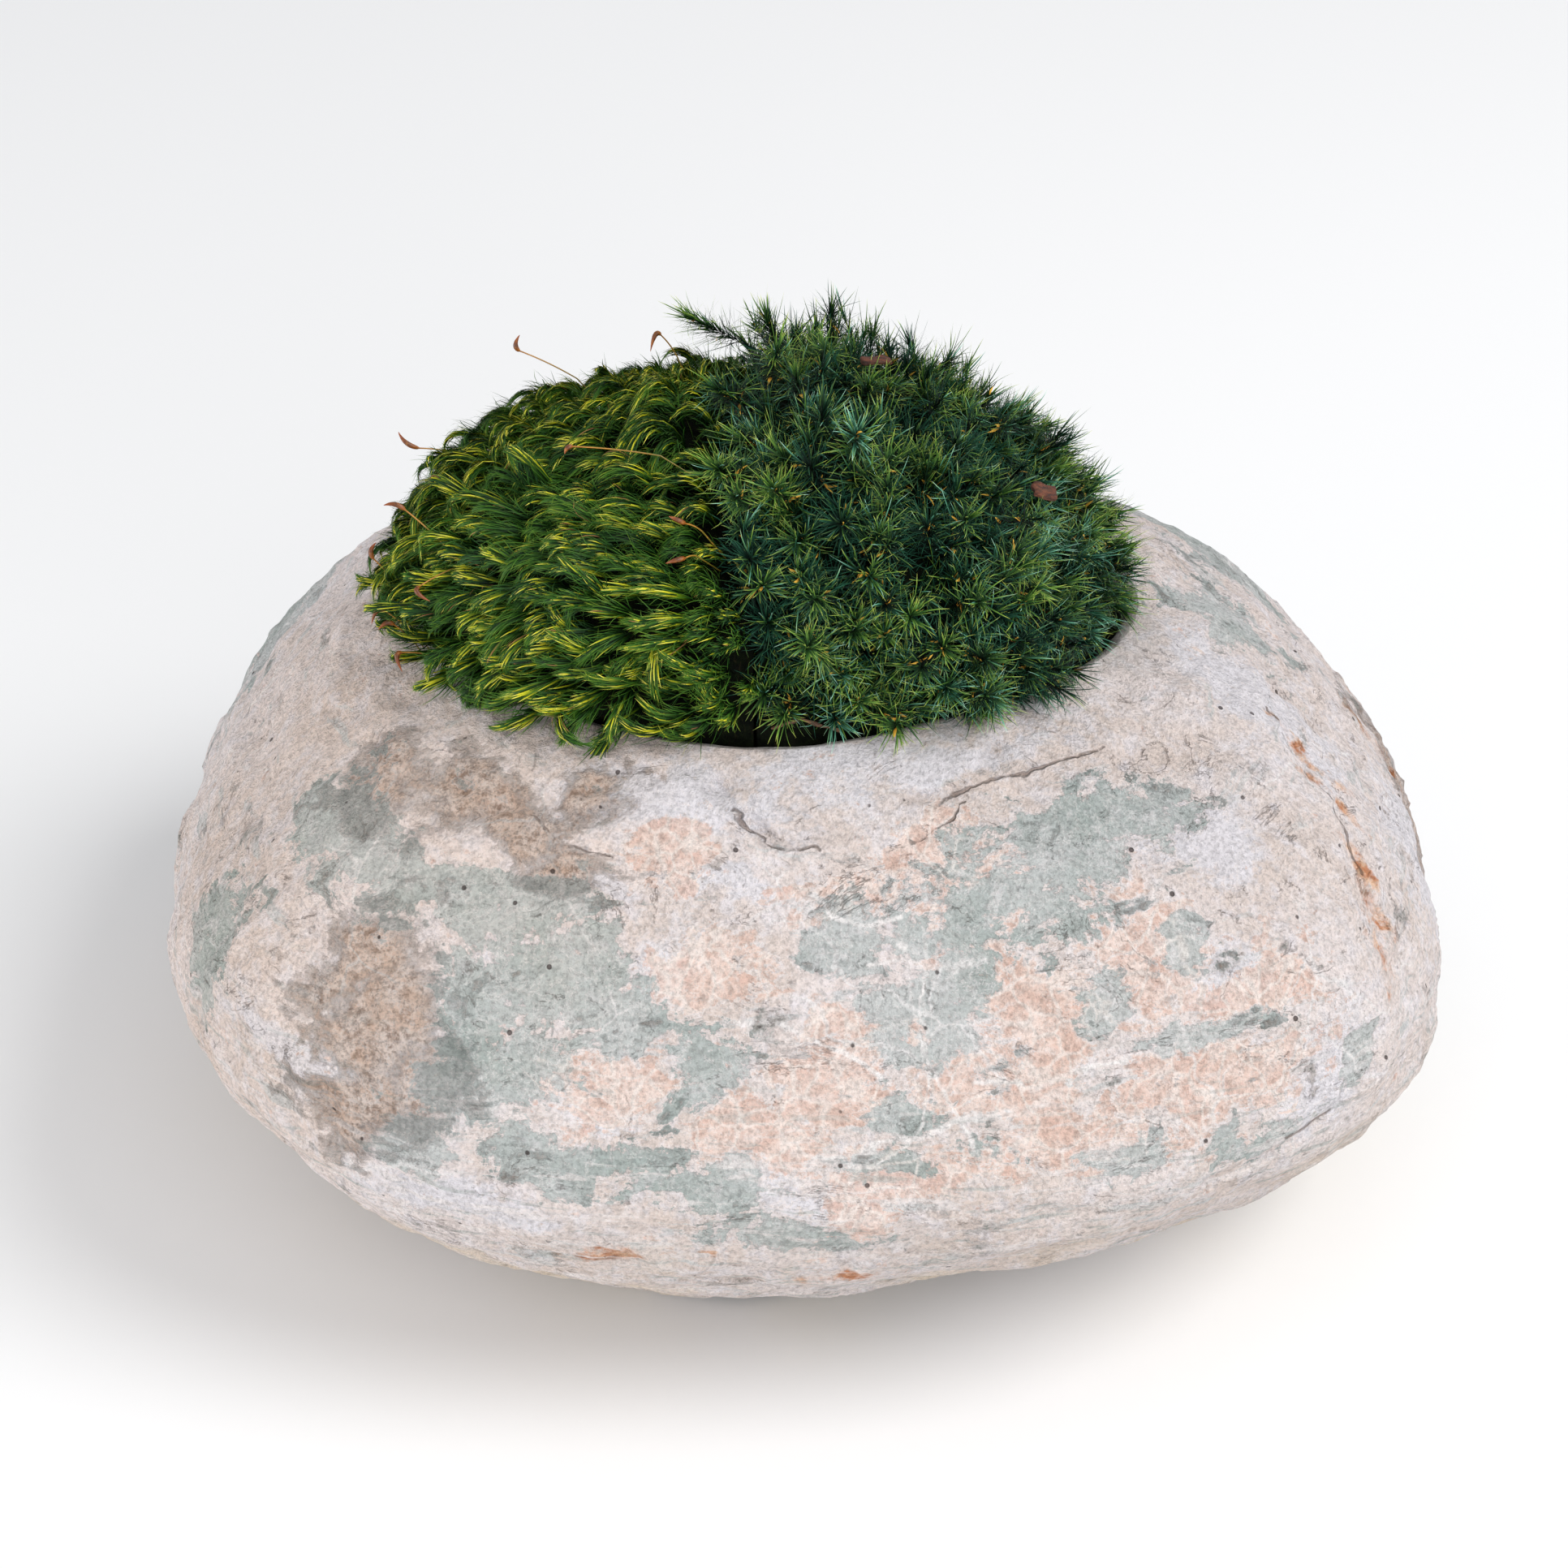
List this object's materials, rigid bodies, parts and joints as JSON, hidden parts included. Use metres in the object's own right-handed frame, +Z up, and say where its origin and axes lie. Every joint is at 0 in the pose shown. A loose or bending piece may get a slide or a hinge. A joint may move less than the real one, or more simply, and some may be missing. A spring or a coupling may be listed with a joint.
{
  "type": "planted boulder ornament",
  "caption": "Hollow stone-look boulder with a moss planting that lifts out of the well in its top, on a screwed base plate with rubber feet and a drain plug.",
  "frame": {"origin": "on the floor, under the middle of the object's bounding box", "axes": "+Z up, +X along the boulder's longest side, and -Y towards the front, the side with the dark gap at the lip"},
  "size_m": [0.2582, 0.2211, 0.1736],
  "materials": {
    "cast_stone": "matt, sandy, beige and pink with grey-green patches and white mineral veins",
    "ballast": "rough poured fill",
    "base_plastic": "fine moulded texture",
    "rubber": "matt",
    "steel": "turned stainless steel",
    "liner_plastic": "satin black",
    "gravel": "loose expanded-clay gravel",
    "soil": "damp crumbly soil",
    "broom_moss": "swept yellow-green leaves over dark green",
    "dark_moss": "starry dark green leaves with lighter tips",
    "sporophyte": "satin red-brown",
    "bark": "dry red-brown"
  },
  "bodies": {
    "boulder": {"boulder_shell": "cast_stone", "ballast_core": "ballast", "base_plate": "base_plastic", "base_screw_1": "steel", "base_screw_2": "steel", "base_screw_3": "steel", "base_screw_4": "steel", "foot_1": "rubber", "foot_2": "rubber", "foot_3": "rubber", "foot_4": "rubber", "drain_strainer": "liner_plastic"},
    "plug": {"drain_plug": "rubber"},
    "planting_insert": {"liner_pot": "liner_plastic", "drainage_gravel": "gravel", "growing_medium": "soil"},
    "broom_moss": {"broom_moss_mat": "broom_moss", "sporophyte_1": "sporophyte", "sporophyte_2": "sporophyte", "sporophyte_3": "sporophyte", "sporophyte_4": "sporophyte", "sporophyte_5": "sporophyte", "sporophyte_6": "sporophyte", "sporophyte_7": "sporophyte", "sporophyte_8": "sporophyte", "sporophyte_9": "sporophyte", "sporophyte_10": "sporophyte", "sporophyte_11": "sporophyte", "sporophyte_12": "sporophyte", "sporophyte_13": "sporophyte"},
    "dark_moss": {"dark_moss_mat": "dark_moss", "bark_chip_1": "bark", "bark_chip_2": "bark", "twig": "bark"}
  },
  "joints": [
    {"name": "insert_lift", "type": "slide", "parent": "boulder", "child": "planting_insert", "axis": [0, 0, 1], "range_m": [0, 0.12]},
    {"name": "broom_moss_lift", "type": "slide", "parent": "planting_insert", "child": "broom_moss", "axis": [0, 0, 1], "range_m": [0, 0.06]},
    {"name": "dark_moss_lift", "type": "slide", "parent": "planting_insert", "child": "dark_moss", "axis": [0, 0, 1], "range_m": [0, 0.06]},
    {"name": "plug_pull", "type": "slide", "parent": "boulder", "child": "plug", "axis": [0, 0, -1], "range_m": [0, 0.03]}
  ]
}
